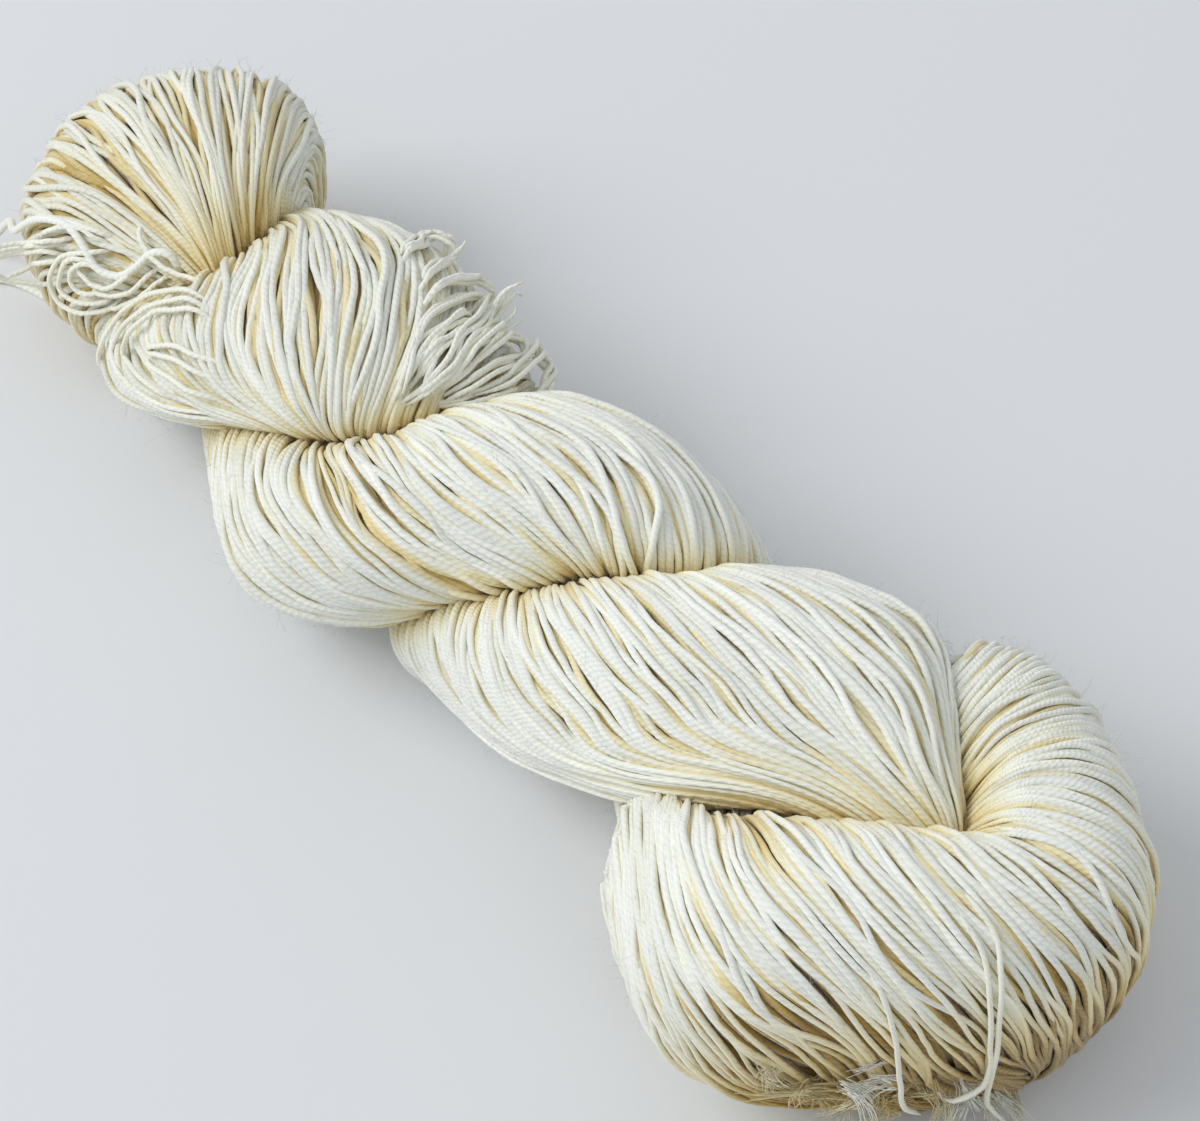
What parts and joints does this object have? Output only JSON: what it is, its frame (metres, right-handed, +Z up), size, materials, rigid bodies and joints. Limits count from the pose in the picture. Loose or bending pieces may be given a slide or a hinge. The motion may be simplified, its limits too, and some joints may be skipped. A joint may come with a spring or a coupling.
{
  "type": "hank of sock yarn",
  "caption": "Twisted hank of undyed sock yarn, folded back on itself into two plies, with a loosely tied strand at one end.",
  "frame": {"origin": "middle of the hank's outline at the level of the surface it lies on, the loose strands left out", "axes": "+X along the hank towards its fat end, +Z up"},
  "size_m": [0.3041, 0.1032, 0.0676],
  "materials": {
    "undyed_yarn": "matt, softly fuzzy creamy white wool, two-ply twisted"
  },
  "bodies": {
    "root": {"hank": "undyed_yarn", "tie": "undyed_yarn", "tie_loop": "undyed_yarn"}
  },
  "joints": []
}
